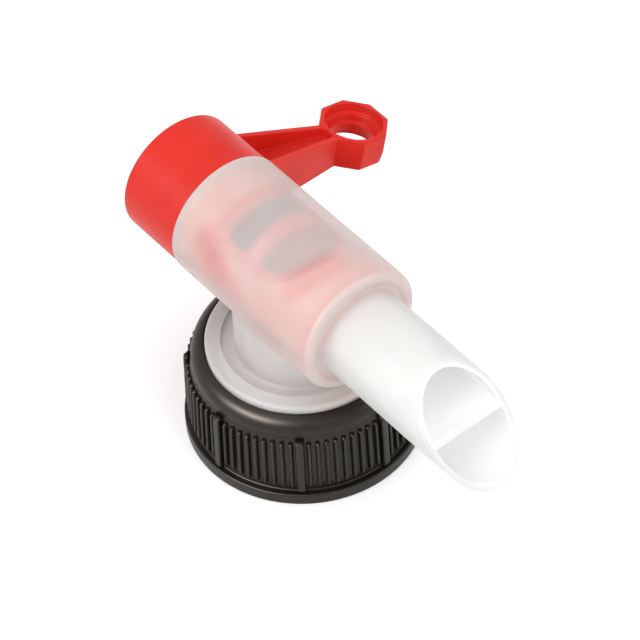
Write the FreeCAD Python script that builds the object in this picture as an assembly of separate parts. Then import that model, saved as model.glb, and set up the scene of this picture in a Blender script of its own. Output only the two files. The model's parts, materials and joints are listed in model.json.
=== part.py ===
import FreeCAD, Part
import math
import os
from FreeCAD import Vector

# Canister tap: a ribbed screw cap for a 61 mm canister neck, a natural plastic tap body that swivels
# in the cap, its sealing washer, and a hollow valve plug with a spanner-eyed lever.
# Frame: millimetres, +Z up the cap's axis, origin at the centre of the cap's mouth. The barrel lies
# along Y, the spout points to -Y and the lever, shut, points to +X.

# Canister neck and the cap's inner thread
neck_thread_radius = 30.4
thread_play = 0.2
thread_depth = 1.4
thread_pitch = 4.0
thread_turns = 1.5
thread_start_height = 7.0
thread_root_width = 2.6
thread_crest_width = 1.3
mouth_radius = 31.9
mouth_lead_height = 1.6

# Cap shell
cap_height = 31.1
cap_opening_radius = 27.2
cap_lip_thickness = 3.0
dome_radius = 4.5
dome_steps = 4
dome_foot_height = 25.6
band_radius = 34.5
band_height = 3.9
band_chamfer = 0.4
skirt_foot_radius = 32.4
skirt_top_radius = 31.7
shoulder_drop = 0.6
shoulder_inset = 0.35

# Grip ribs on the cap
wide_rib_count = 8
fine_ribs_between = 9
first_wide_rib_angle = 4.3
wide_rib_crest_width = 2.1
wide_rib_root_width = 2.9
wide_rib_foot_crest = 34.0
wide_rib_top_crest = 33.5
fine_rib_crest_width = 0.8
fine_rib_root_width = 1.8
fine_rib_foot_crest = 33.5
fine_rib_top_crest = 33.0
fine_rib_foot_gap = 1.6
fine_rib_top_drop = 1.4
wide_rib_end_slope = 0.45
fine_rib_end_slope = 0.9

# Flange of the tap body, held under the cap's lip
swivel_play = 0.15
flange_radius = 29.8
flange_thickness = 2.3
boss_stand = 1.9
boss_inner_radius = 22.4
boss_chamfer = 0.6
groove_depth = 1.5
core_wall = 2.0
core_gap_radius = 21.9

# Sealing washer under the flange
washer_inner_radius = 22.6
washer_outer_radius = 29.0
washer_thickness = 2.0

# Neck and barrel
neck_outer_radius = 18.6
neck_wall = 2.4
neck_foot_chamfer = 0.7
barrel_axis_height = 57.6
barrel_radius = 19.2
barrel_wall = 2.6
barrel_front = -27.7
barrel_rear = 31.3
barrel_front_wall = 2.5
barrel_front_edge_radius = 1.8
barrel_edge_steps = 3
dish_radius = 16.3
dish_depth = 1.0
dish_floor_width = 1.4

# Spout with its oblique mouth and the wall between its two channels
spout_radius = 13.5
spout_wall = 2.0
mouth_middle = -71.4
mouth_angle = 45.6
septum_thickness = 1.6

# Ports from the neck into the barrel
port_half_width = 11.0
port_bar_middle = 4.1
port_bar_width = 5.4
front_port_end = -10.0
port_edge_margin = 0.5
neck_divider_thickness = 1.8

# Valve plug
plug_gap = 0.35
seal_gap = 0.05
plug_wall = 1.9
plug_front_gap = 0.4
plug_shoulder_gap = 0.15
partition_thickness = 1.8
window_half_width = 11.5
rear_window_length = 8.9
rear_window_corner = 4.2
front_window_length = 13.2
front_window_corner = 11.3
window_bar_corner = 1.2
window_frame_width = 2.0
front_seal_width = 2.2
rear_seal_middle = 19.0
rear_seal_width = 2.6
rear_web_thickness = 2.0
rear_web_gap = 2.0

# Snap bead of the plug, which is also its stop against a key in the barrel
bead_middle = 27.0
bead_width = 1.8
bead_height = 0.7
bead_side_gap = 0.25
bead_top_gap = 0.2
lever_travel = 180.0
stop_key_half_angle = 5.5
stop_gap_angle = 0.5

# End cap of the plug
end_cap_radius = 18.9
end_cap_length = 22.4
end_cap_wall = 2.1
end_cap_chamfer = 0.7

# Lever, an I-section of two converging walls on a web, ending in an eight-sided eye
lever_droop = 13.8
lever_root_width = 21.3
lever_wall = 1.8
lever_web = 1.8
lever_web_top = 1.8
lever_root_top = 11.9
lever_root_bottom = -8.4
lever_tip_top = 4.3
lever_tip_bottom = -5.6
lever_set_back = 10.55
eye_reach = 56.0
eye_radius = 10.65
eye_bottom_radius = 10.1
eye_top = 4.7
eye_parting = -1.7
eye_bottom = -5.9
eye_edge_chamfer = 0.4
eye_steps = ((8.6, 1.7), (7.5, -0.8), (6.5, -3.4))
eye_back_radius = 8.0

# Sizes that follow from the ones above
thread_root_radius = neck_thread_radius + thread_play
thread_crest_radius = thread_root_radius - thread_depth
rib_root_radius = (thread_root_radius + skirt_top_radius) / 2
lip_underside = cap_height - cap_lip_thickness
flange_top = lip_underside - swivel_play
flange_bottom = flange_top - flange_thickness
boss_radius = cap_opening_radius - swivel_play
boss_top = cap_height + boss_stand
groove_floor = boss_top - groove_depth
neck_inner_radius = neck_outer_radius - neck_wall
bore_radius = barrel_radius - barrel_wall
bore_front = barrel_front + barrel_front_wall
spout_bore_radius = spout_radius - spout_wall
mouth_slope = math.tan(math.radians(mouth_angle))
spout_tip = mouth_middle - mouth_slope * spout_radius
plug_radius = bore_radius - plug_gap
seal_radius = bore_radius - seal_gap
plug_inner_radius = plug_radius - plug_wall
plug_front = bore_front + plug_front_gap
plug_shoulder = barrel_rear + plug_shoulder_gap
bar_front = port_bar_middle - port_bar_width / 2
bar_rear = port_bar_middle + port_bar_width / 2
rear_window_end = bar_rear + rear_window_length
front_window_end = bar_front - front_window_length
rear_web_front = rear_window_end + rear_web_gap
end_cap_rear = plug_shoulder + end_cap_length
lever_middle = plug_shoulder + lever_set_back
eye_flat_reach = eye_reach - eye_radius * math.cos(math.pi / 8)
eye_flat_width = 2 * eye_radius * math.sin(math.pi / 8)
overlap = 1.0
far = 200.0
tolerance = 1e-4

x_axis = Vector(1, 0, 0)
y_axis = Vector(0, 1, 0)
z_axis = Vector(0, 0, 1)
origin = Vector(0, 0, 0)
barrel_axis = Vector(0, 0, barrel_axis_height)


def polygon_face(points):
    return Part.Face(Part.makePolygon(points + [points[0]]))


def ringed_solid(rings):
    """A flat-faced solid through rings of equally many corners, closed at its first and last ring."""
    faces = [polygon_face(rings[0]), polygon_face(rings[-1])]
    for ring, following in zip(rings, rings[1:]):
        for index in range(len(ring)):
            after = (index + 1) % len(ring)
            faces.append(polygon_face([ring[index], ring[after], following[after], following[index]]))
    return Part.Solid(Part.Shell(faces))


def quarter_turn(centre, radius, steps, first_angle):
    """Points of a rounded edge in (across, up), a quarter circle from first_angle in equal steps."""
    points = []
    for step in range(steps + 1):
        angle = math.radians(first_angle + 90 * step / steps)
        points.append((centre[0] + radius * math.cos(angle), centre[1] + radius * math.sin(angle)))
    return points


def turned_about_z(outline):
    """A full turn of an outline of (radius, height) points about the cap's axis."""
    face = polygon_face([Vector(radius, 0, height) for radius, height in outline])
    return face.revolve(origin, z_axis, 360)


def turned_about_barrel(outline):
    """A full turn of an outline of (place along Y, radius) points about the barrel's axis."""
    points = [barrel_axis + Vector(radius, along, 0) for along, radius in outline]
    return polygon_face(points).revolve(barrel_axis, y_axis, 360)


def barrel_rod(radius, start, end):
    return Part.makeCylinder(radius, end - start, barrel_axis + y_axis * start, y_axis)


def upright_rod(radius, bottom, top):
    return Part.makeCylinder(radius, top - bottom, z_axis * bottom, z_axis)


def centred_box(half_width, start, end, bottom, top):
    """A box from -half_width to half_width in X, start to end in Y, bottom to top in Z."""
    corner = Vector(-half_width, start, bottom)
    return Part.makeBox(2 * half_width, end - start, top - bottom, corner)


def edges_where(shape, test):
    return [edge for edge in shape.Edges if test(edge)]


def is_upright(edge):
    return abs(edge.BoundBox.ZLength - edge.Length) < tolerance


def is_on(edge, points):
    """Whether one of the points lies on the edge."""
    return any(edge.distToShape(Part.Vertex(point))[0] < tolerance for point in points)


def write(shape, node):
    if len(shape.Solids) != 1 or not shape.isValid():
        raise ValueError("%s is not one valid solid" % node)
    shape.Solids[0].exportStep("parts/%s.step" % node)


# Screw cap
def cap_shell():
    """The cap's section: banded foot, tapered skirt, domed shoulder, lip and stepped bore."""
    dome_foot = skirt_top_radius - shoulder_inset
    dome_centre = (dome_foot - dome_radius, cap_height - dome_radius)
    outline = [
        (cap_opening_radius, lip_underside),
        (thread_root_radius, lip_underside),
        (thread_root_radius, mouth_lead_height),
        (mouth_radius, 0),
        (band_radius, 0),
        (band_radius, band_height - band_chamfer),
        (band_radius - band_chamfer, band_height),
        (skirt_foot_radius, band_height),
        (skirt_top_radius, dome_foot_height - shoulder_drop),
        (dome_foot, dome_foot_height),
    ]
    outline += quarter_turn(dome_centre, dome_radius, dome_steps, 0)[1:-1]
    return turned_about_z(outline + [(cap_opening_radius, cap_height)])


def rib(angle, root_width, crest_width, foot_crest, top_crest, foot, top, end_slope):
    """One grip rib: a tapered bar rooted in the skirt, with sloped ends and drafted sides."""
    draft = (root_width - crest_width) / 2 / (foot_crest - rib_root_radius)

    def across(radius, height):
        half = root_width / 2 - draft * (radius - rib_root_radius)
        return [Vector(radius, -half, height), Vector(radius, half, height)]

    root = across(rib_root_radius, foot) + across(rib_root_radius, top)[::-1]
    crest = across(foot_crest, foot + end_slope) + across(top_crest, top - end_slope)[::-1]
    bar = ringed_solid([root, crest])
    bar.rotate(origin, z_axis, angle)
    return bar


def grip_ribs():
    ribs = []
    pitch = 360 / wide_rib_count / (fine_ribs_between + 1)
    for index in range(wide_rib_count * (fine_ribs_between + 1)):
        angle = first_wide_rib_angle + index * pitch
        if index % (fine_ribs_between + 1) == 0:
            ribs.append(
                rib(
                    angle,
                    wide_rib_root_width,
                    wide_rib_crest_width,
                    wide_rib_foot_crest,
                    wide_rib_top_crest,
                    band_height - band_chamfer,
                    dome_foot_height,
                    wide_rib_end_slope,
                )
            )
        else:
            ribs.append(
                rib(
                    angle,
                    fine_rib_root_width,
                    fine_rib_crest_width,
                    fine_rib_foot_crest,
                    fine_rib_top_crest,
                    band_height + fine_rib_foot_gap,
                    dome_foot_height - fine_rib_top_drop,
                    fine_rib_end_slope,
                )
            )
    return ribs


def thread_ridge():
    """The helical ridge inside the cap, trimmed to a true cylinder at its crest."""
    height = thread_pitch * thread_turns
    path = Part.makeHelix(thread_pitch, height, thread_root_radius)
    root = thread_root_radius + thread_play
    crest = thread_crest_radius - thread_play
    corners = [
        Vector(root, 0, -thread_root_width / 2),
        Vector(crest, 0, -thread_crest_width / 2),
        Vector(crest, 0, thread_crest_width / 2),
        Vector(root, 0, thread_root_width / 2),
    ]
    profile = Part.makePolygon(corners + [corners[0]])
    ridge = Part.Wire(path.Edges).makePipeShell([profile], True, True)
    ridge.translate(z_axis * thread_start_height)
    return ridge.cut(upright_rod(thread_crest_radius, 0, cap_height))


def screw_cap():
    ribbed = cap_shell().multiFuse(grip_ribs()).removeSplitter()
    return ribbed.fuse(thread_ridge())


# Tap body
def flange_and_neck():
    """Flange, boss with its groove, and the neck up to the barrel's axis, as one turned form."""
    top = barrel_axis_height
    outline = [
        (neck_inner_radius, flange_bottom),
        (neck_inner_radius + core_wall, flange_bottom),
        (neck_inner_radius + core_wall, groove_floor - core_wall),
        (core_gap_radius, groove_floor - core_wall),
        (core_gap_radius, flange_bottom),
        (flange_radius, flange_bottom),
        (flange_radius, flange_top),
        (boss_radius, flange_top),
        (boss_radius, boss_top - boss_chamfer),
        (boss_radius - boss_chamfer, boss_top),
        (boss_inner_radius, boss_top),
        (boss_inner_radius, groove_floor),
        (neck_outer_radius + neck_foot_chamfer, groove_floor),
        (neck_outer_radius, groove_floor + neck_foot_chamfer),
        (neck_outer_radius, top),
        (neck_inner_radius, top),
    ]
    return turned_about_z(outline)


def barrel_outside():
    """The barrel as a solid rod, with its rounded front edge and the dish round the spout's root."""
    edge_centre = (barrel_front + barrel_front_edge_radius, barrel_radius - barrel_front_edge_radius)
    outline = [(barrel_rear, 0), (barrel_rear, barrel_radius)]
    outline += quarter_turn(edge_centre, barrel_front_edge_radius, barrel_edge_steps, 90)
    outline += [
        (barrel_front, dish_radius),
        (barrel_front + dish_depth, spout_radius + dish_floor_width),
        (barrel_front + dish_depth, 0),
    ]
    return turned_about_barrel(outline)


def barrel_bore():
    """The plug's bore with the snap groove, and the stop key left standing in the groove."""
    groove_radius = plug_radius + bead_height + bead_top_gap
    groove_front = bead_middle - bead_width / 2 - bead_side_gap
    groove_rear = bead_middle + bead_width / 2 + bead_side_gap
    bore = barrel_rod(bore_radius, bore_front, barrel_rear + overlap)
    key_side = stop_key_half_angle - 90
    groove = sector(groove_radius, groove_front, groove_rear, key_side, 360 - 2 * stop_key_half_angle)
    return bore.fuse(groove)


def sector(radius, start, end, first_angle, sweep):
    """A slice of a rod about the barrel's axis. Angles run from +X towards +Z."""
    corner = barrel_axis + y_axis * end
    rod = Part.makeCylinder(radius, end - start, corner, y_axis * -1, sweep)
    zero = rod.Placement.Rotation.multVec(x_axis)
    turned = math.degrees(math.atan2(zero.z, zero.x))
    rod.rotate(barrel_axis, y_axis * -1, first_angle - turned)
    return rod


def past_mouth():
    """Everything beyond the spout's oblique mouth plane."""
    middle = barrel_axis + y_axis * mouth_middle
    rise = Vector(0, mouth_slope, 1)
    rise.normalize()
    out = Vector(0, -rise.z, rise.y)
    face = polygon_face(
        [
            middle + rise * far + x_axis * far,
            middle + rise * far - x_axis * far,
            middle - rise * far - x_axis * far,
            middle - rise * far + x_axis * far,
        ]
    )
    return face.extrude(out * far)


def spout():
    """The spout as a solid rod cut off at its mouth."""
    rod = barrel_rod(spout_radius, spout_tip - overlap, barrel_front + barrel_front_wall / 2)
    return rod.cut(past_mouth())


def spout_channels():
    """The spout's bore, less the wall that parts it in two."""
    bore = barrel_rod(spout_bore_radius, spout_tip - overlap, bore_front + overlap)
    half = septum_thickness / 2
    septum = centred_box(
        spout_radius,
        spout_tip - 2 * overlap,
        bore_front + 2 * overlap,
        barrel_axis_height - half,
        barrel_axis_height + half,
    )
    return bore.cut(septum)


def ports():
    """The two openings from the neck into the barrel, either side of the bar."""
    room = upright_rod(neck_inner_radius - port_edge_margin, flange_bottom, barrel_axis_height)
    rear = centred_box(port_half_width, bar_rear, neck_inner_radius, flange_bottom, barrel_axis_height)
    front = centred_box(port_half_width, front_port_end, bar_front, flange_bottom, barrel_axis_height)
    return [room.common(rear), room.common(front)]


def neck_divider():
    """The upright wall that parts the neck into the liquid's way and the air's way."""
    half = neck_divider_thickness / 2
    wall = centred_box(
        neck_outer_radius,
        port_bar_middle - half,
        port_bar_middle + half,
        flange_bottom,
        barrel_axis_height,
    )
    return wall.common(upright_rod(neck_inner_radius + neck_wall / 2, flange_bottom, barrel_axis_height))


def tap_body():
    outside = flange_and_neck().multiFuse([barrel_outside(), spout(), neck_divider()])
    return outside.cut(barrel_bore().multiFuse([spout_channels()] + ports()))


# Sealing washer
def sealing_washer():
    outline = [
        (washer_inner_radius, flange_bottom - washer_thickness),
        (washer_outer_radius, flange_bottom - washer_thickness),
        (washer_outer_radius, flange_bottom),
        (washer_inner_radius, flange_bottom),
    ]
    return turned_about_z(outline)


# Valve plug
def window_prism(bar_side, far_side, far_corner, margin):
    """One window as an upright prism, grown by a margin, with wider corners on its far side."""
    half = window_half_width + margin
    start = min(bar_side, far_side) - margin
    end = max(bar_side, far_side) + margin
    prism = centred_box(half, start, end, barrel_axis_height, barrel_axis_height + barrel_radius)
    far_end, bar_end = (end, start) if far_side > bar_side else (start, end)

    def corners_at(shape, place):
        corners = [Vector(side * half, place, barrel_axis_height) for side in (-1, 1)]
        return edges_where(shape, lambda edge: is_upright(edge) and is_on(edge, corners))

    prism = prism.makeFillet(far_corner + margin, corners_at(prism, far_end))
    return prism.makeFillet(window_bar_corner, corners_at(prism, bar_end))


def window_prisms(margin):
    rear = window_prism(bar_rear, rear_window_end, rear_window_corner, margin)
    front = window_prism(bar_front, front_window_end, front_window_corner, margin)
    return [rear, front]


def plug_tube():
    """The turned outside of the plug: tube, seals, shoulder and end cap, with both hollows."""
    seal_front = rear_seal_middle - rear_seal_width / 2
    seal_rear = rear_seal_middle + rear_seal_width / 2
    outline = [
        (plug_front, plug_inner_radius),
        (plug_front, seal_radius),
        (plug_front + front_seal_width, seal_radius),
        (plug_front + front_seal_width, plug_radius),
        (seal_front, plug_radius),
        (seal_front, seal_radius),
        (seal_rear, seal_radius),
        (seal_rear, plug_radius),
        (plug_shoulder, plug_radius),
        (plug_shoulder, end_cap_radius),
        (end_cap_rear - end_cap_chamfer, end_cap_radius),
        (end_cap_rear, end_cap_radius - end_cap_chamfer),
        (end_cap_rear, end_cap_radius - end_cap_wall),
        (plug_shoulder + end_cap_wall, end_cap_radius - end_cap_wall),
        (plug_shoulder + end_cap_wall, plug_inner_radius),
        (rear_web_front + rear_web_thickness, plug_inner_radius),
        (rear_web_front + rear_web_thickness, 0),
        (rear_web_front, 0),
        (rear_web_front, plug_inner_radius),
    ]
    return turned_about_barrel(outline)


def snap_bead():
    """Half a ring that snaps into the barrel's groove and meets the stop key at both ends."""
    half_angle = lever_travel / 2 - stop_key_half_angle - stop_gap_angle
    bead_radius = plug_radius + bead_height
    start = bead_middle - bead_width / 2
    end = bead_middle + bead_width / 2
    ring = sector(bead_radius, start, end, -half_angle, 2 * half_angle)
    return ring.cut(barrel_rod(plug_radius - plug_wall / 2, start - overlap, end + overlap))


def partition():
    """The wall across the plug that meets the spout's, and the bulkhead between the two windows."""
    half = partition_thickness / 2
    inside = barrel_rod(plug_inner_radius + plug_wall / 2, plug_front, rear_web_front)
    bulkhead_front = port_bar_middle - half
    bulkhead_rear = port_bar_middle + half
    low = barrel_axis_height - half
    plate = centred_box(plug_radius, plug_front, bulkhead_rear, low, low + partition_thickness)
    bulkhead = centred_box(plug_radius, bulkhead_front, bulkhead_rear, low, low + plug_radius + overlap)
    return plate.fuse(bulkhead).common(inside)


def window_frames():
    """Raised sealing borders round the two windows."""
    skin = barrel_rod(seal_radius, plug_front, rear_seal_middle)
    core = barrel_rod(plug_radius - plug_wall / 2, plug_front - overlap, rear_seal_middle + overlap)
    skin = skin.cut(core)
    return [prism.common(skin) for prism in window_prisms(window_frame_width)]


def lever_beam():
    """The lever's two walls and web, as its plan cut to its side view, less the pockets."""
    narrowing = (lever_root_width - eye_flat_width) / 2 / eye_flat_reach
    end = eye_flat_reach + overlap

    def plan(inset, bottom, top):
        half_start = lever_root_width / 2 - inset
        half_end = half_start - narrowing * end
        corners = [
            Vector(0, -half_start, bottom),
            Vector(end, -half_end, bottom),
            Vector(end, half_end, bottom),
            Vector(0, half_start, bottom),
        ]
        return polygon_face(corners).extrude(z_axis * (top - bottom))

    top_slope = (lever_tip_top - lever_root_top) / eye_flat_reach
    bottom_slope = (lever_tip_bottom - lever_root_bottom) / eye_flat_reach
    side = polygon_face(
        [
            Vector(0, -far, lever_root_bottom),
            Vector(end, -far, lever_root_bottom + bottom_slope * end),
            Vector(end, -far, lever_root_top + top_slope * end),
            Vector(0, -far, lever_root_top),
        ]
    ).extrude(y_axis * 2 * far)
    beam = plan(0, lever_root_bottom, lever_root_top).common(side)
    upper_pocket = plan(lever_wall, lever_web_top, lever_root_top + overlap)
    lower_pocket = plan(lever_wall, lever_root_bottom - overlap, lever_web_top - lever_web)
    core = Part.makeCylinder(end_cap_radius - end_cap_wall / 2, 2 * far, Vector(0, -far, 0), y_axis)
    return beam.cut(upper_pocket.fuse(lower_pocket)).cut(core)


def eye():
    """The lever's eight-sided spanner eye with its stepped hole."""

    def octagon(radius, height):
        angles = [math.pi * (corner + 0.5) / 4 for corner in range(8)]
        return [
            Vector(eye_reach + radius * math.cos(angle), radius * math.sin(angle), height)
            for angle in angles
        ]

    edge = eye_edge_chamfer
    block = ringed_solid(
        [
            octagon(eye_bottom_radius - edge, eye_bottom),
            octagon(eye_bottom_radius, eye_bottom + edge),
            octagon(eye_radius, eye_parting),
            octagon(eye_radius, eye_top - edge),
            octagon(eye_radius - edge, eye_top),
        ]
    )
    holes = [Part.makeCylinder(eye_back_radius, eye_steps[-1][1] - eye_bottom + overlap)]
    holes[0].translate(Vector(eye_reach, 0, eye_bottom - overlap))
    top = eye_top + overlap
    for radius, floor in eye_steps:
        hole = Part.makeCylinder(radius, top - floor, Vector(eye_reach, 0, floor))
        holes.append(hole)
    return block.cut(holes[0].multiFuse(holes[1:]))


def lever():
    arm = lever_beam().fuse(eye())
    arm.translate(barrel_axis + y_axis * lever_middle)
    arm.rotate(barrel_axis, y_axis, lever_droop)
    return arm


def valve_plug():
    body = plug_tube().multiFuse([partition(), snap_bead(), lever()] + window_frames())
    return body.cut(Part.makeCompound(window_prisms(0)))


def main():
    os.makedirs("parts", exist_ok=True)
    write(screw_cap(), "screw_cap")
    write(tap_body(), "tap_body")
    write(sealing_washer(), "sealing_washer")
    write(valve_plug(), "valve_plug")


main()
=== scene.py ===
import json
import math

import bmesh
import bpy
from mathutils import Matrix, Vector


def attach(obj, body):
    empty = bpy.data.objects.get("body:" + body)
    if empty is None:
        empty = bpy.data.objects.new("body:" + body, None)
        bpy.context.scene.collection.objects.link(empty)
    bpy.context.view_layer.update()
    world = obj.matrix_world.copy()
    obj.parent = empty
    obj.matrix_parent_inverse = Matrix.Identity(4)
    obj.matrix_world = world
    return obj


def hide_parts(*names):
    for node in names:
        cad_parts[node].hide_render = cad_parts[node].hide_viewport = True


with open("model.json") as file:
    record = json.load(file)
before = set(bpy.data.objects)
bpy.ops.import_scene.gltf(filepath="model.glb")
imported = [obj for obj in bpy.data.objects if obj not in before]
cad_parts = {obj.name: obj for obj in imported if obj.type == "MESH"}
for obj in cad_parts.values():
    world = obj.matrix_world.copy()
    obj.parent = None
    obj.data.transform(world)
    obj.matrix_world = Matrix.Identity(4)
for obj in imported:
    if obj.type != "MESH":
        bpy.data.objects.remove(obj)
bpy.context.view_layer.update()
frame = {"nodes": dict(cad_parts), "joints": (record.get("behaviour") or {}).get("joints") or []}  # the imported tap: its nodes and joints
mm = 0.001
leverTurn = next(joint for joint in frame["joints"] if joint["name"] == "lever_turn")
barrelAxisHeight = leverTurn["pos_m"][2]  # the plug turns on a line along Y at this height
print("frame loaded")


class Wire:  # one output socket of a shader's nodes, so that a finish can be written as sums
    def __init__(self, socket):
        self.socket = socket
        self.tree = socket.id_data

    def node(self, kind, settings, inputs, output=0):  # adds any node: its settings first, then its inputs
        made = self.tree.nodes.new(kind)
        for name, value in settings.items():
            setattr(made, name, value)
        feed(made, inputs)
        return Wire(made.outputs[output])

    def maths(self, operation, first, second=0.0):
        return self.node("ShaderNodeMath", {"operation": operation}, {0: first, 1: second})

    def __add__(self, other):
        return self.maths("ADD", self, other)

    def __radd__(self, other):
        return self.maths("ADD", other, self)

    def __sub__(self, other):
        return self.maths("SUBTRACT", self, other)

    def __rsub__(self, other):
        return self.maths("SUBTRACT", other, self)

    def __mul__(self, other):
        return self.maths("MULTIPLY", self, other)

    def __rmul__(self, other):
        return self.maths("MULTIPLY", other, self)

    def clamped(self):  # kept between 0 and 1
        return self.maths("MINIMUM", self.maths("MAXIMUM", self, 0.0), 1.0)

    def ramped(self, low, high):  # 0 below low, 1 above high, smooth between
        settings = {"interpolation_type": "SMOOTHSTEP"}
        return self.node("ShaderNodeMapRange", settings, {"Value": self, "From Min": low, "From Max": high})

    def between(self, first, second):  # the first value where this wire is 0, the second where it is 1
        return first + self * (second - first)

    def blend(self, first, second):  # the same for colours
        settings = {"data_type": "RGBA"}
        return self.node("ShaderNodeMix", settings, {0: self, 6: first, 7: second}, output=2)

    def axis(self, name):
        return self.node("ShaderNodeSeparateXYZ", {}, {0: self}, output="XYZ".index(name))

    def distanceFrom(self, point):
        return self.node("ShaderNodeVectorMath", {"operation": "DISTANCE"}, {0: self, 1: point}, output=1)

    def fromUprightAxis(self):  # a place's distance from the line that the tap turns on in its cap
        across, along = self.axis("X"), self.axis("Y")
        return self.maths("SQRT", across * across + along * along)

    def fromBarrelAxis(self):  # a place's distance from the line that the plug turns on
        across, up = self.axis("X"), self.axis("Z") - barrelAxisHeight
        return self.maths("SQRT", across * across + up * up)

    def noise(self, scale, detail):
        return self.node("ShaderNodeTexNoise", {}, {"Vector": self, "Scale": scale, "Detail": detail})

    def cells(self, scale):  # the distance from the middle of the nearest cell
        return self.node("ShaderNodeTexVoronoi", {}, {"Vector": self, "Scale": scale})

    def bump(self, strength, distance):
        return self.node("ShaderNodeBump", {}, {"Height": self, "Strength": strength, "Distance": distance})


def feed(node, values):  # sets a node's inputs from numbers and colours, or joins wires to them
    for name, value in values.items():
        if isinstance(value, Wire):
            value.tree.links.new(value.socket, node.inputs[name])
        else:
            node.inputs[name].default_value = value


def newFinish(name):  # a material, its shader, and the place on the piece as a wire
    material = bpy.data.materials.new(name)
    material.use_nodes = True
    nodes = material.node_tree.nodes
    coordinates = nodes.new("ShaderNodeTexCoord")
    return material, nodes["Principled BSDF"], Wire(coordinates.outputs["Object"])


# Every moulded plastic has faint clouds of colour and a fine grain, and both change its roughness a little
grainDetail = 2.0
grainHeight = 0.0001


def moulded(place, look):  # the plastic's own colour, and what feeds its roughness and normal
    cloud = place.noise(look["cloudScale"], look["cloudDetail"])
    grain = place.noise(look["grainScale"], grainDetail)
    colour = cloud.ramped(*look["cloudEdges"]).blend(look["colour"], look["cloudy"])
    rough = look["roughness"] + (cloud - 0.5) * look["cloudGloss"] + (grain - 0.5) * look["grainGloss"]
    return colour, {"Roughness": rough, "Normal": grain.bump(look["grainBump"], grainHeight)}


# Black plastic of the cap
blackPlastic = {
    "colour": (0.0045, 0.0036, 0.0027, 1),
    "cloudy": (0.0095, 0.0078, 0.0060, 1),
    "cloudScale": 60,
    "cloudDetail": 4.0,
    "cloudEdges": (0.4, 0.75),
    "cloudGloss": 0.12,
    "grainScale": 900,
    "grainGloss": 0.08,
    "grainBump": 0.05,
    "roughness": 0.38,
    "sockets": {"IOR": 1.5, "Specular IOR Level": 0.36, "Specular Tint": (1.0, 0.90, 0.80, 1)},
}


def makeBlackPlastic():
    material, shader, place = newFinish("blackPlastic")
    colour, surface = moulded(place, blackPlastic)
    feed(shader, {"Base Color": colour, **surface, **blackPlastic["sockets"]})
    return material


# Natural translucent plastic of the tap body. An alpha says how much of the wall's own white covers what lies
# behind it. A pair of edges says, in metres, where a region starts and where it is full.
naturalPlastic = {
    "colour": (0.888, 0.885, 0.872, 1),
    "cloudy": (0.865, 0.862, 0.85, 1),
    "cloudScale": 45,
    "cloudDetail": 3.0,
    "cloudEdges": (0.35, 0.7),
    "cloudGloss": 0.10,
    "grainScale": 700,
    "grainGloss": 0.06,
    "grainBump": 0.08,
    "roughness": 0.42,
    "sockets": {"IOR": 1.3, "Specular IOR Level": 0.3, "Transmission Weight": 0.30},
    # Spout: its two channels are paler, where light bounces between their walls, and clearer at the mouth
    "spoutAlpha": 0.72,
    "channelEdges": (0.0119, 0.0130),  # out from the barrel's axis
    "channelColour": (0.958, 0.956, 0.948, 1),
    "channelAlpha": 0.93,
    "mouthEdges": (-0.068, -0.042),  # along Y
    "mouthAlpha": 0.84,
    # Tip of the mouth: a painted shade, grey
    "tipEdges": (-0.083, -0.064),  # along Y
    "tipPaintedShade": (0.86, 0.86, 0.85, 1),
    # Barrel, which the red plug glows through: its warm and pink tones are a painted glow of the plug's red
    # light in the milky wall, stronger in noisy patches
    "barrelFront": -0.0277,
    "barrelEdges": (-0.0006, -0.0001),  # back from the front
    "barrelPaintedGlow": (0.855, 0.835, 0.815, 1),
    "barrelAlpha": 0.71,
    "glowPatchScale": 55,
    "glowPatchDetail": 1.0,
    "glowPatchEdges": (0.38, 0.62),  # of the noise
    "paintedGlowPatch": (0.855, 0.785, 0.76, 1),
    # a painted red glow of the plug near the barrel's front
    "frontEdges": (0.002, 0.009),  # back from the front
    "frontPaintedGlow": (0.90, 0.805, 0.77, 1),
    "boreStart": (0.0030, 0.0045),  # back from the front
    "boreEdges": (0.0168, 0.0180),  # out from the barrel's axis
    "boreAlpha": 0.12,
    # a painted red glow of the plug near the barrel's rear
    "rearEdges": (0.0290, 0.0300),  # along Y
    "rearPaintedGlow": (0.86, 0.81, 0.785, 1),
    "rearAlpha": 0.77,
    # Underside of the barrel, and the spots where the plug touches its wall: both get a stronger painted red
    # glow of the plug, and the spots let more of the plug show through, the underside less
    "underEdges": (-0.0010, 0.0050),  # down from the barrel's axis
    "underAlpha": 0.88,
    "underContact": 0.5,
    "contacts": (
        (-0.0169, 0.0190, 0.0667),
        (-0.0181, 0.0125, 0.0640),
        (-0.0112, -0.0138, 0.0732),
        (-0.0060, -0.0158, 0.0758),
        (-0.0005, -0.0168, 0.0768),
    ),
    "contactReach": (0.0008, 0.0074),
    "contactPaintedGlow": (0.85, 0.72, 0.69, 1),
    "contactAlpha": 0.61,
    # Neck and boss below the barrel: a painted shade, from the barrel above and the cap around them, which
    # ends at the boss's pale lip
    "neckEdges": (0.0195, 0.0220),  # out from the barrel's axis
    "neckPaintedShade": (0.81, 0.775, 0.75, 1),
    "neckAlpha": 0.92,
    "lipEdges": (0.0218, 0.0222),  # out from the cap's axis
}


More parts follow.
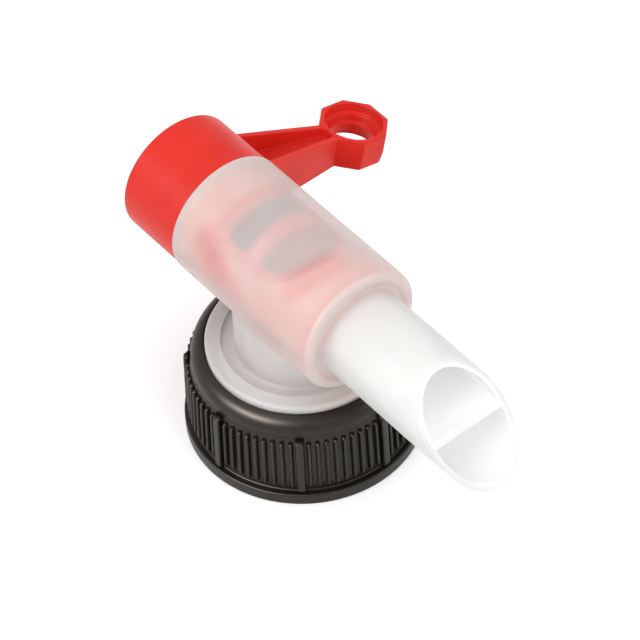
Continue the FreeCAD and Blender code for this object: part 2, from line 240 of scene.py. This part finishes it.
def makeNaturalPlastic():
    look = naturalPlastic
    material, shader, place = newFinish("naturalPlastic")
    along, radius = place.axis("Y"), place.fromBarrelAxis()
    fromFront = along - look["barrelFront"]
    barrel = fromFront.ramped(*look["barrelEdges"])
    bore = fromFront.ramped(*look["boreStart"]) * (1 - radius.ramped(*look["boreEdges"]))
    rear = along.ramped(*look["rearEdges"])
    neck = radius.ramped(*look["neckEdges"])
    channel = 1 - radius.ramped(*look["channelEdges"])
    under = (barrelAxisHeight - place.axis("Z")).ramped(*look["underEdges"])
    touches = [1 - place.distanceFrom(spot).ramped(*look["contactReach"]) for spot in look["contacts"]]
    contact = sum(touches).clamped()

    channelAlpha = along.ramped(*look["mouthEdges"]).between(look["mouthAlpha"], look["channelAlpha"])
    spoutAlpha = channel.between(look["spoutAlpha"], channelAlpha)
    wallAlpha = contact.between(look["barrelAlpha"], look["contactAlpha"])
    wallAlpha = under.between(wallAlpha, look["underAlpha"])
    wallAlpha = bore.between(wallAlpha, look["boreAlpha"])
    wallAlpha = rear.between(wallAlpha, look["rearAlpha"])
    alpha = barrel.between(spoutAlpha, wallAlpha)
    alpha = neck.between(alpha, look["neckAlpha"])

    colour, surface = moulded(place, look)
    colour = channel.blend(colour, look["channelColour"])
    # painted shade at the tip of the mouth
    colour = (1 - along.ramped(*look["tipEdges"])).blend(colour, look["tipPaintedShade"])
    # painted red glow of the plug in the barrel's wall, in patches and stronger on the underside
    glowPatches = place.noise(look["glowPatchScale"], look["glowPatchDetail"]).ramped(*look["glowPatchEdges"])
    wall = (glowPatches + under).clamped().blend(look["barrelPaintedGlow"], look["paintedGlowPatch"])
    # painted red glow where the plug touches the wall, half as strong on the underside
    wall = (contact + look["underContact"] * under).clamped().blend(wall, look["contactPaintedGlow"])
    colour = (barrel * (1 - neck)).blend(colour, wall)
    # painted red glow at the barrel's front
    colour = (barrel * (1 - fromFront.ramped(*look["frontEdges"]))).blend(colour, look["frontPaintedGlow"])
    # painted red glow at the barrel's rear
    colour = rear.blend(colour, look["rearPaintedGlow"])
    lip = place.fromUprightAxis().ramped(*look["lipEdges"])
    # painted shade on the neck and boss, inside the boss's lip
    colour = (neck * (1 - lip)).blend(colour, look["neckPaintedShade"])
    feed(shader, {"Base Color": colour, "Alpha": alpha, **surface, **look["sockets"]})
    return material


# Red plastic of the plug and lever, paler between the plug's seals except at the spots pressed on the barrel:
# a painted haze for the white light scattered in the barrel's wall over the gap
redPlastic = {
    "colour": (0.73, 0.026, 0.015, 1),
    "cloudy": (0.66, 0.021, 0.012, 1),
    "cloudScale": 50,
    "cloudDetail": 4.0,
    "cloudEdges": (0.35, 0.7),
    "cloudGloss": 0.12,
    "grainScale": 800,
    "grainGloss": 0.06,
    "grainBump": 0.10,
    "roughness": 0.40,
    "sockets": {"IOR": 1.5, "Specular IOR Level": 0.18},
    "speckScale": 110,
    "speckEdges": (0.02, 0.045),
    "speckStrength": 0.6,
    "speckColour": (0.80, 0.30, 0.24, 1),
    "recessInner": (0.0150, 0.0154),  # out from the barrel's axis
    "recessOuter": (0.0164, 0.0165),  # the same
    "recessEnd": (0.0305, 0.0309),  # along Y
    "recessPaintedHaze": (0.76, 0.24, 0.19, 1),
    "pressed": ((-0.0142, 0.0175, 0.0660), (-0.0165, 0.0095, 0.0570), (0.0, 0.0041, 0.0738)),
    "pressedReach": (0.0034, 0.0085),
}


def makeRedPlastic():
    look = redPlastic
    material, shader, place = newFinish("redPlastic")
    along, radius = place.axis("Y"), place.fromBarrelAxis()
    recess = radius.ramped(*look["recessInner"]) * (1 - radius.ramped(*look["recessOuter"]))
    recess = recess * (1 - along.ramped(*look["recessEnd"]))
    for spot in look["pressed"]:
        recess = recess * place.distanceFrom(spot).ramped(*look["pressedReach"])
    specks = 1 - place.cells(look["speckScale"]).ramped(*look["speckEdges"])
    colour, surface = moulded(place, look)
    colour = (look["speckStrength"] * specks).blend(colour, look["speckColour"])
    # painted haze on the plug between its seals, where it stands back from the barrel's wall
    colour = recess.blend(colour, look["recessPaintedHaze"])
    feed(shader, {"Base Color": colour, **surface, **look["sockets"]})
    return material


# Soft foam of the sealing washer, with painted shade in its pores
softSeal = {
    "colour": (0.82, 0.82, 0.79, 1),
    "porePaintedShade": (0.62, 0.62, 0.60, 1),
    "poreScale": 1800,
    "poreEdges": (0.1, 0.5),
    "poreBump": 0.4,
    "poreDepth": 0.0002,
    "roughness": 0.85,
}


def makeSoftSeal():
    material, shader, place = newFinish("softSeal")
    cells = place.cells(softSeal["poreScale"])
    # painted shade in the pores
    colour = cells.ramped(*softSeal["poreEdges"]).blend(softSeal["porePaintedShade"], softSeal["colour"])
    bump = cells.bump(softSeal["poreBump"], softSeal["poreDepth"])
    feed(shader, {"Base Color": colour, "Roughness": softSeal["roughness"], "Normal": bump})
    return material


def bevelEdges(mesh, edges, width, segments):
    settings = {"affect": "EDGES", "offset_type": "OFFSET", "profile": 0.5, "material": -1}
    bmesh.ops.bevel(mesh, geom=edges, offset=width, segments=segments, **settings)


normalWeight = 60  # how far the large faces rule the shading of the rounded edges beside them


def addPiece(name, mesh, material, node, body):
    bmesh.ops.recalc_face_normals(mesh, faces=mesh.faces)
    for face in mesh.faces:
        face.smooth = True  # with evenNormals, large flat faces still look flat
    data = bpy.data.meshes.new(name)
    mesh.to_mesh(data)
    mesh.free()
    data.materials.append(material)
    piece = bpy.data.objects.new(name, data)
    bpy.context.scene.collection.objects.link(piece)
    piece.modifiers.new("evenNormals", "WEIGHTED_NORMAL").weight = normalWeight
    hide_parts(node)
    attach(piece, body)


# Screw cap, in millimetres and degrees
capShape = {
    "around": 180,
    "openingRadius": 27.2,
    "openingRound": 0.45,
    "lipUnderside": 28.1,
    "domeCentre": (26.85, 26.6),  # radius and height
    "domeRadius": 4.5,
    "domeFoot": 25.6,
    "domeSteps": 14,
    "skirtTop": (31.7, 25.0),  # radius and height
    "skirtFoot": 32.4,
    "skirtRound": 0.5,
    "bandRadius": 34.5,
    "bandHeight": 3.9,
    "bandRound": 0.45,
    "bandSteps": 5,
    "rimRound": 0.3,
    "roundSteps": 4,
    "mouth": (31.9, 1.6),  # radius at the rim, and height, of the bevel that leads into the thread
    "wideCount": 8,
    "fineBetween": 9,
    "firstAngle": 4.3,
    "ribInside": 31.0,  # within the skirt's wall, so that the ribs are rooted in it
    "ribSegments": 3,
    "wideRib": {
        "rootWidth": 2.9,
        "crestWidth": 2.1,
        "footRadius": 34.0,
        "topRadius": 33.5,
        "low": 3.6,
        "high": 25.6,
        "slope": 1.1,  # how much shorter its crest is at each end
        "round": 0.35,
    },
    "fineRib": {
        "rootWidth": 1.8,
        "crestWidth": 0.8,
        "footRadius": 33.5,
        "topRadius": 33.0,
        "low": 5.5,
        "high": 24.2,
        "slope": 0.9,
        "round": 0.36,
    },
    "thread": {
        "start": 7.0,
        "pitch": 4.0,
        "turns": 1.5,
        "rootRadius": 30.6,
        "crestRadius": 29.2,
        "rootWidth": 2.6,
        "crestWidth": 1.3,
        "overlap": 0.1,  # how far it reaches into the wall
        "steps": 120,
    },
}


def arcPoints(centre, radius, first, last, steps):
    points = []
    for step in range(steps + 1):
        angle = math.radians(first + (last - first) * step / steps)
        points.append((centre[0] + radius * math.cos(angle), centre[1] + radius * math.sin(angle)))
    return points


def capOutline():  # from the opening down the inside, round the rim and back up over the band, skirt and dome
    shape = capShape
    opening, underside, root = shape["openingRadius"], shape["lipUnderside"], shape["thread"]["rootRadius"]
    rim, band, skirt, lip = shape["rimRound"], shape["bandRound"], shape["skirtRound"], shape["openingRound"]
    outer, top = shape["bandRadius"], shape["bandHeight"]
    centre, radius = shape["domeCentre"], shape["domeRadius"]
    mouthRadius, mouthHeight = shape["mouth"]
    reach = math.degrees(math.acos((opening + lip - centre[0]) / radius))  # where the dome meets the opening
    lipHeight = centre[1] + radius * math.sin(math.radians(reach)) - lip
    steps = shape["roundSteps"]
    outline = [(opening, underside), (root, underside), (root, mouthHeight), (mouthRadius, 0)]
    outline += arcPoints((outer - rim, rim), rim, -90, 0, steps)
    outline += arcPoints((outer - band, top - band), band, 0, 90, shape["bandSteps"])
    outline += arcPoints((shape["skirtFoot"] + skirt, top + skirt), skirt, 270, 180, steps)
    outline += [shape["skirtTop"], (centre[0] + radius, shape["domeFoot"])]
    outline += arcPoints(centre, radius, 0, reach, shape["domeSteps"])
    outline += arcPoints((opening + lip, lipHeight), lip, 100, 180, steps)  # from just past the dome's end
    return outline


def spinOutline(mesh, outline, steps):
    points = [mesh.verts.new((radius * mm, 0, height * mm)) for radius, height in outline]
    edges = [mesh.edges.new((points[index - 1], points[index])) for index in range(len(points))]
    turn = {"angle": 2 * math.pi, "steps": steps, "use_merge": True}
    bmesh.ops.spin(mesh, geom=points + edges, cent=(0, 0, 0), axis=(0, 0, 1), **turn)


def addRib(mesh, rib, angle):  # a cube drawn out to a tapered rib, whose outer edges are rounded
    corners = bmesh.ops.create_cube(mesh, size=2)["verts"]
    outer = [corner for corner in corners if corner.co.x > 0]
    edges = list({edge for corner in outer for edge in corner.link_edges})
    for corner in corners:
        side, upward, outward = corner.co.y, corner.co.z > 0, corner in outer
        crest = rib["topRadius"] if upward else rib["footRadius"]
        slope = rib["slope"] if outward else 0
        corner.co.x = (crest if outward else capShape["ribInside"]) * mm
        corner.co.y = side * (rib["crestWidth"] if outward else rib["rootWidth"]) / 2 * mm
        corner.co.z = (rib["high"] - slope if upward else rib["low"] + slope) * mm
    turn = Matrix.Rotation(math.radians(angle), 3, "Z")
    bmesh.ops.rotate(mesh, verts=corners, cent=(0, 0, 0), matrix=turn)
    bevelEdges(mesh, edges, rib["round"] * mm, capShape["ribSegments"])


def addThread(mesh):  # a trapezium, screwed up along the inside of the cap
    thread = capShape["thread"]
    crest, foot = thread["crestRadius"], thread["rootRadius"] + thread["overlap"]
    crestHalf, rootHalf = thread["crestWidth"] / 2, thread["rootWidth"] / 2
    corners = ((foot, -rootHalf), (crest, -crestHalf), (crest, crestHalf), (foot, rootHalf))
    made = [mesh.verts.new((radius * mm, 0, (thread["start"] + up) * mm)) for radius, up in corners]
    first = mesh.faces.new(made)
    rise = Vector((0, 0, thread["pitch"] * thread["turns"] * mm / thread["steps"]))
    turn = {"angle": 2 * math.pi * thread["turns"], "steps": thread["steps"], "dvec": rise}
    bmesh.ops.spin(mesh, geom=[first], cent=(0, 0, 0), axis=(0, 0, 1), use_duplicate=False, **turn)


def makeCap(material):
    mesh = bmesh.new()
    spinOutline(mesh, capOutline(), capShape["around"])
    perWide = capShape["fineBetween"] + 1
    count = capShape["wideCount"] * perWide
    for index in range(count):
        rib = capShape["fineRib"] if index % perWide else capShape["wideRib"]
        addRib(mesh, rib, capShape["firstAngle"] + 360 * index / count)
    addThread(mesh)
    addPiece("capPiece", mesh, material, "screw_cap", "cap")


makeCap(makeBlackPlastic())
print("cap made")

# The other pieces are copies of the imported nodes: merged, flat faces joined, and sharp edges rounded
rounding = {
    "merge": 0.06 * mm,
    "flat": 0.8,  # degrees
    "sharp": 24,  # degrees
    "segments": 3,
    "width": {"tap_body": 0.35 * mm, "valve_plug": 0.3 * mm, "sealing_washer": 0.3 * mm},
    "plugStart": 31.2 * mm,  # along Y, where the plug comes out of the barrel
}


def softened(node, start=-math.inf):  # edges with an end at or below start along Y stay sharp
    mesh = bmesh.new()
    mesh.from_mesh(frame["nodes"][node].data)
    bmesh.ops.remove_doubles(mesh, verts=mesh.verts, dist=rounding["merge"])
    limits = {"angle_face_threshold": math.radians(rounding["flat"]), "angle_shape_threshold": math.pi}
    bmesh.ops.join_triangles(mesh, faces=mesh.faces, **limits)
    bmesh.ops.recalc_face_normals(mesh, faces=mesh.faces)
    limit = math.radians(rounding["sharp"])
    past = [edge for edge in mesh.edges if min(end.co.y for end in edge.verts) > start]
    sharp = [edge for edge in past if edge.calc_face_angle(0) > limit]
    bevelEdges(mesh, sharp, rounding["width"][node], rounding["segments"])
    return mesh


addPiece("tapPiece", softened("tap_body"), makeNaturalPlastic(), "tap_body", "tap")
plugMesh = softened("valve_plug", rounding["plugStart"])
addPiece("plugPiece", plugMesh, makeRedPlastic(), "valve_plug", "valve")
addPiece("washerPiece", softened("sealing_washer"), makeSoftSeal(), "sealing_washer", "tap")
print("tap, plug and washer made")

# Camera, fitted to the photograph: its turns in degrees, and its place in the turned view's own directions
cameraSetting = {
    "azimuth": -37.2115,
    "elevation": 48.4809,
    "roll": -3.2750,
    "place": (0.0042248, 0.0259007, 1.03361),  # right, up and back from the origin
    "lens": 202.5,
    "sensor": 36,
    "clipStart": 0.01,
}


def placeCamera():
    data = bpy.data.cameras.new("photoCamera")
    data.lens = cameraSetting["lens"]
    data.sensor_width = cameraSetting["sensor"]
    data.clip_start = cameraSetting["clipStart"]
    camera = bpy.data.objects.new("photoCamera", data)
    azimuth = Matrix.Rotation(math.radians(cameraSetting["azimuth"]), 4, "Z")
    tilt = Matrix.Rotation(math.radians(90 - cameraSetting["elevation"]), 4, "X")
    roll = Matrix.Rotation(math.radians(cameraSetting["roll"]), 4, "Z")
    camera.matrix_world = azimuth @ tilt @ roll @ Matrix.Translation(cameraSetting["place"])
    bpy.context.scene.collection.objects.link(camera)
    bpy.context.scene.camera = camera


# Studio: a pale floor, an even white surrounding, and lamps that all point at the target
studio = {
    "floorSize": 6.0,
    "floorHeight": -0.0001,
    "floor": {
        "Base Color": (0.88, 0.88, 0.88, 1),
        "Roughness": 0.9,
        "Specular IOR Level": 0.0,
        "Emission Strength": 0.28,
    },
    "surrounding": (1, 1, 1, 1),
    "ambient": 0.72,
    "target": (0, 0, 0.04),
    "lamps": {
        "key": {"place": (-0.98, 0.03, 0.80), "power": 3.6, "size": (0.8, 0.2), "diffuse": True},
        "shine": {"place": (-0.98, 0.03, 0.80), "power": 31.0, "size": (0.8, 0.28), "diffuse": False},
        "fill": {"place": (0.2, -1.15, 0.75), "power": 5.2, "size": (0.9, 0.6), "diffuse": True},
        "top": {"place": (0.1, 0.2, 1.4), "power": 3.8, "size": (1.0, 1.0), "diffuse": True},
    },
}


def seenAsBackground(tree):  # 1 where the camera looks, also in a gloss or through plastic, and 0 for light
    path = tree.nodes.new("ShaderNodeLightPath")
    kinds = ("Camera", "Glossy", "Transmission")
    return sum(Wire(path.outputs["Is %s Ray" % kind]) for kind in kinds).clamped()


def makeFloor():
    mesh = bmesh.new()
    bmesh.ops.create_grid(mesh, x_segments=1, y_segments=1, size=studio["floorSize"] / 2)
    bmesh.ops.translate(mesh, verts=mesh.verts, vec=(0, 0, studio["floorHeight"]))
    data = bpy.data.meshes.new("studioFloor")
    mesh.to_mesh(data)
    mesh.free()
    floor = bpy.data.objects.new("studioFloor", data)
    bpy.context.scene.collection.objects.link(floor)
    material, shader = newFinish("studioPaper")[:2]
    feed(shader, {"Emission Color": seenAsBackground(material.node_tree), **studio["floor"]})
    data.materials.append(material)


def makeWorld():
    world = bpy.data.worlds.new("studioWorld")
    bpy.context.scene.world = world
    world.use_nodes = True
    level = seenAsBackground(world.node_tree).between(studio["ambient"], 1)
    feed(world.node_tree.nodes["Background"], {"Color": studio["surrounding"], "Strength": level})


def addLamp(name, setting):
    data = bpy.data.lights.new(name + "Lamp", "AREA")
    data.energy = setting["power"]
    data.shape = "RECTANGLE"
    data.size, data.size_y = setting["size"]
    lamp = bpy.data.objects.new(name + "Lamp", data)
    lamp.location = setting["place"]
    towards = Vector(studio["target"]) - Vector(setting["place"])
    lamp.rotation_euler = towards.to_track_quat("-Z", "Y").to_euler()
    lamp.visible_diffuse = setting["diffuse"]  # a lamp without it shows only in glosses
    bpy.context.scene.collection.objects.link(lamp)


placeCamera()
makeFloor()
makeWorld()
for lampName, lampSetting in studio["lamps"].items():
    addLamp(lampName, lampSetting)
bpy.context.scene.view_settings.view_transform = "Standard"
print("studio set")
